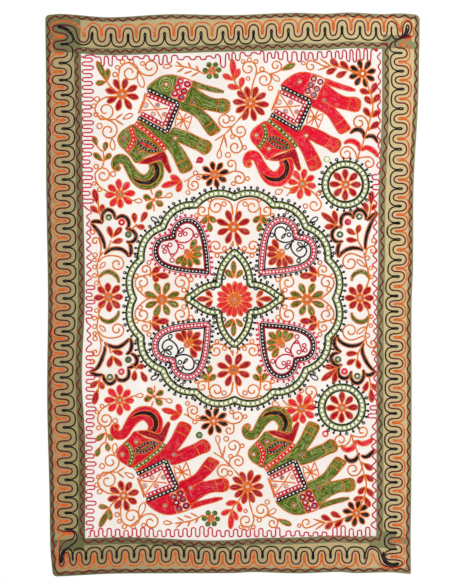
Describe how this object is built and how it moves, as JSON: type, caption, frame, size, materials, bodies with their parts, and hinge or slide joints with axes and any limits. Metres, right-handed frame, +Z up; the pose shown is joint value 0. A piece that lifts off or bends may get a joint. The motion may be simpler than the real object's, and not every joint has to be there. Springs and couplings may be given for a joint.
{
  "type": "embroidered tapestry",
  "caption": "Upright embroidered cloth wall hanging: an ivory field with chain-stitched elephants, flowers and a round medallion, in an olive cloth border.",
  "frame": {"origin": "middle of the cloth's top edge", "axes": "+Z up along the hanging's height, +X across it to the viewer's right, and the embroidered face looks to -Y"},
  "size_m": [1.019, 0.0118, 1.535],
  "materials": {
    "ivory_cloth": "plain-woven cotton, ivory, matt",
    "olive_cloth": "fine plain-woven cotton, olive, matt, darker where it lies double",
    "orange_thread": "twisted cotton thread in chain stitch, orange, soft sheen",
    "green_thread": "twisted cotton thread in chain stitch, leaf green, soft sheen",
    "red_thread": "twisted cotton thread in chain stitch, bright red, soft sheen",
    "maroon_thread": "twisted cotton thread in chain stitch, maroon and crimson, soft sheen",
    "black_thread": "twisted cotton thread in chain stitch, black, soft sheen",
    "white_thread": "twisted cotton thread, white, soft sheen",
    "sequin": "small round silvered disc held by stitches"
  },
  "bodies": {
    "root": {"field_panel": "ivory_cloth", "border_top": "olive_cloth", "border_bottom": "olive_cloth", "border_left": "olive_cloth", "border_right": "olive_cloth"}
  },
  "joints": []
}
